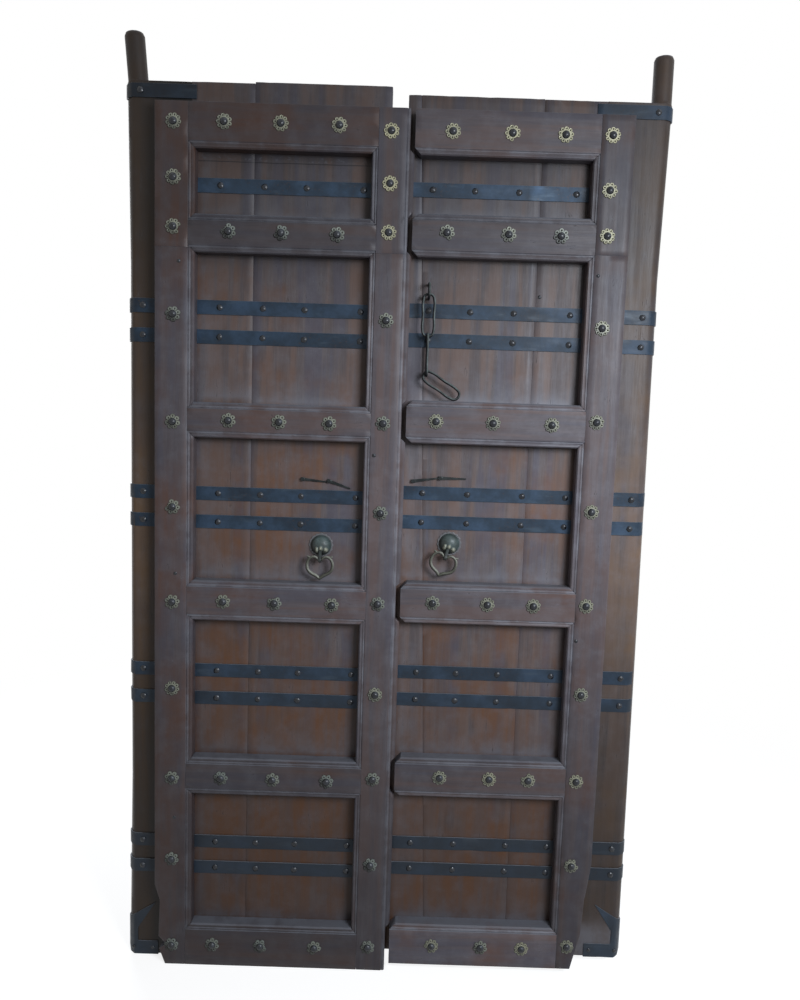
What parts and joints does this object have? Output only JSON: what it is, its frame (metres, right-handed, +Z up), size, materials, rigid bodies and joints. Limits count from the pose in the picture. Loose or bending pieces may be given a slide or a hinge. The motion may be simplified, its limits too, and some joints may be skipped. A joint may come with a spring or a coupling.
{
  "type": "double-leaf panelled wooden door",
  "caption": "Old double-leaf wooden door on wooden pintles, with moulded rails and stiles, brass rosettes, iron straps, ring pulls and a hanging chain.",
  "frame": {"origin": "on the floor, midway across the door, at the front face of the planks", "axes": "+X to the right as seen from the front, +Y towards the back of the door, +Z up"},
  "size_m": [1.2062, 0.093, 2.1397],
  "materials": {
    "post_wood": "weathered, dry, dusty",
    "plank_wood": "weathered, stained by rust",
    "frame_wood": "worn dark stain, slight sheen",
    "strap_iron": "dull wrought iron with worn blue-grey paint",
    "nail_iron": "dark forged iron",
    "rosette_brass": "dull, dirty brass sheet",
    "boss_bronze": "dark greenish bronze",
    "ring_bronze": "handled bronze, slightly brighter",
    "chain_iron": "dark forged iron"
  },
  "bodies": {
    "left_leaf": {"left_bottom_rail": "frame_wood", "left_clenched_spikes": "nail_iron", "left_corner_strap": "strap_iron", "left_foot_shoe": "strap_iron", "left_frieze_rail": "frame_wood", "left_lock_rail": "frame_wood", "left_lower_rail": "frame_wood", "left_outer_stile": "frame_wood", "left_outer_stile_top": "frame_wood", "left_pivot_post": "post_wood", "left_plank_1": "plank_wood", "left_plank_2": "plank_wood", "left_pull_boss": "boss_bronze", "left_rosette_nails": "nail_iron", "left_rosettes": "rosette_brass", "left_short_strap": "strap_iron", "left_strap_nails": "nail_iron", "left_straps_1": "strap_iron", "left_straps_2": "strap_iron", "left_straps_3": "strap_iron", "left_straps_4": "strap_iron", "left_top_rail": "frame_wood", "left_upper_rail": "frame_wood", "meeting_stile": "frame_wood", "meeting_stile_top": "frame_wood"},
    "right_leaf": {"chain_staple": "chain_iron", "right_bottom_rail": "frame_wood", "right_clenched_spikes": "nail_iron", "right_corner_strap": "strap_iron", "right_foot_shoe": "strap_iron", "right_frieze_rail": "frame_wood", "right_lock_rail": "frame_wood", "right_lower_rail": "frame_wood", "right_outer_stile": "frame_wood", "right_outer_stile_top": "frame_wood", "right_pivot_post": "post_wood", "right_plank_1": "plank_wood", "right_plank_2": "plank_wood", "right_plank_3": "plank_wood", "right_pull_boss": "boss_bronze", "right_rosette_nails": "nail_iron", "right_rosettes": "rosette_brass", "right_short_strap": "strap_iron", "right_strap_nails": "nail_iron", "right_straps_1": "strap_iron", "right_straps_2": "strap_iron", "right_straps_3": "strap_iron", "right_straps_4": "strap_iron", "right_top_rail": "frame_wood", "right_upper_rail": "frame_wood"},
    "left_ring": {"left_pull_ring": "ring_bronze"},
    "right_ring": {"right_pull_ring": "ring_bronze"},
    "chain_link_1": {"chain_link_1": "chain_iron"},
    "chain_link_2": {"chain_link_2": "chain_iron"},
    "chain_link_3": {"chain_link_3": "chain_iron"}
  },
  "joints": [
    {"name": "right_leaf_swing", "type": "hinge", "parent": "left_leaf", "child": "right_leaf", "pos_m": [0.576, 0.022, 0], "axis": [0, 0, -1], "range_deg": [0, 100]},
    {"name": "left_ring_lift", "type": "hinge", "parent": "left_leaf", "child": "left_ring", "pos_m": [-0.15, -0.024, 0.992], "axis": [-1, 0, 0], "range_deg": [0, 120]},
    {"name": "right_ring_lift", "type": "hinge", "parent": "right_leaf", "child": "right_ring", "pos_m": [0.13573, -0.024, 1.00647], "axis": [-0.9511, 0, 0.309], "range_deg": [0, 120]},
    {"name": "chain_link_1_swing", "type": "hinge", "parent": "right_leaf", "child": "chain_link_1", "pos_m": [0.078, -0.025, 1.586], "axis": [0, -1, 0], "range_deg": [0, 75]},
    {"name": "chain_link_2_swing", "type": "hinge", "parent": "chain_link_1", "child": "chain_link_2", "pos_m": [0.078, -0.025, 1.5003], "axis": [-1, 0, 0], "range_deg": [0, 90]},
    {"name": "chain_link_3_swing", "type": "hinge", "parent": "chain_link_2", "child": "chain_link_3", "pos_m": [0.078, -0.025, 1.4146], "axis": [0, -1, 0], "range_deg": [0, 60]}
  ]
}
